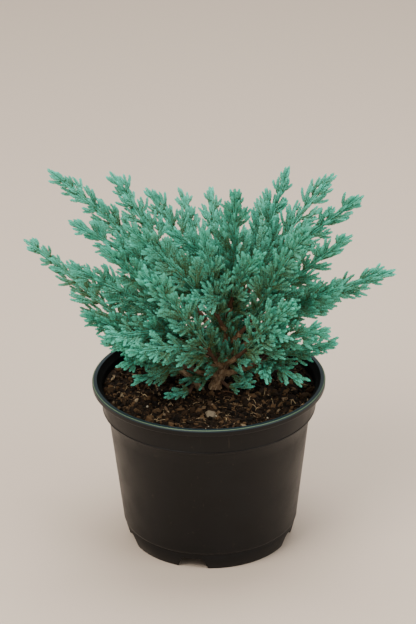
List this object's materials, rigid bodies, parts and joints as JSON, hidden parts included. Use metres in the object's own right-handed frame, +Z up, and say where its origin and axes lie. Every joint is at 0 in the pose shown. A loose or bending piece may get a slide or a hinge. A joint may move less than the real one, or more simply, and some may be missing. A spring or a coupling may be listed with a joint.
{
  "type": "potted creeping juniper",
  "caption": "Low spreading blue-green conifer with feathery plumes on a short leaning trunk, growing in a round black nursery pot filled with compost.",
  "frame": {"origin": "on the pot's axis at the level its foot ring stands on", "axes": "+Z up, -Y towards the front, where the trunk shows through the foliage, +X to the viewer's right"},
  "size_m": [0.2671, 0.1897, 0.2854],
  "materials": {
    "pot_plastic": "matte black moulded polypropylene with light scuffs",
    "compost": "dark peat and bark compost with fibres and small chips",
    "bark": "reddish-brown flaking bark",
    "needles": "matte blue-green needles with paler tips"
  },
  "bodies": {
    "root": {"pot": "pot_plastic", "soil": "compost", "trunk": "bark", "left_stem": "bark", "bough_southwest_low": "bark", "bough_east_low": "bark", "bough_northwest_low": "bark", "bough_fork_left": "bark", "bough_southeast_low": "bark", "bough_southwest": "bark", "bough_east": "bark", "bough_north": "bark", "bough_west_up": "bark", "bough_southeast": "bark", "bough_northeast": "bark", "bough_northwest": "bark", "bough_south": "bark", "bough_east_up": "bark", "bough_front_up": "bark", "crown_top": "needles", "crown_west": "needles", "crown_southwest_low": "needles", "crown_east_low": "needles", "crown_northwest_low": "needles", "crown_fork_left": "needles", "crown_southeast_low": "needles", "crown_southwest": "needles", "crown_east": "needles", "crown_north": "needles", "crown_west_up": "needles", "crown_southeast": "needles", "crown_northeast": "needles", "crown_northwest": "needles", "crown_south": "needles", "crown_east_up": "needles", "crown_front_up": "needles", "foot_left": "needles", "foot_right": "needles"}
  },
  "joints": []
}
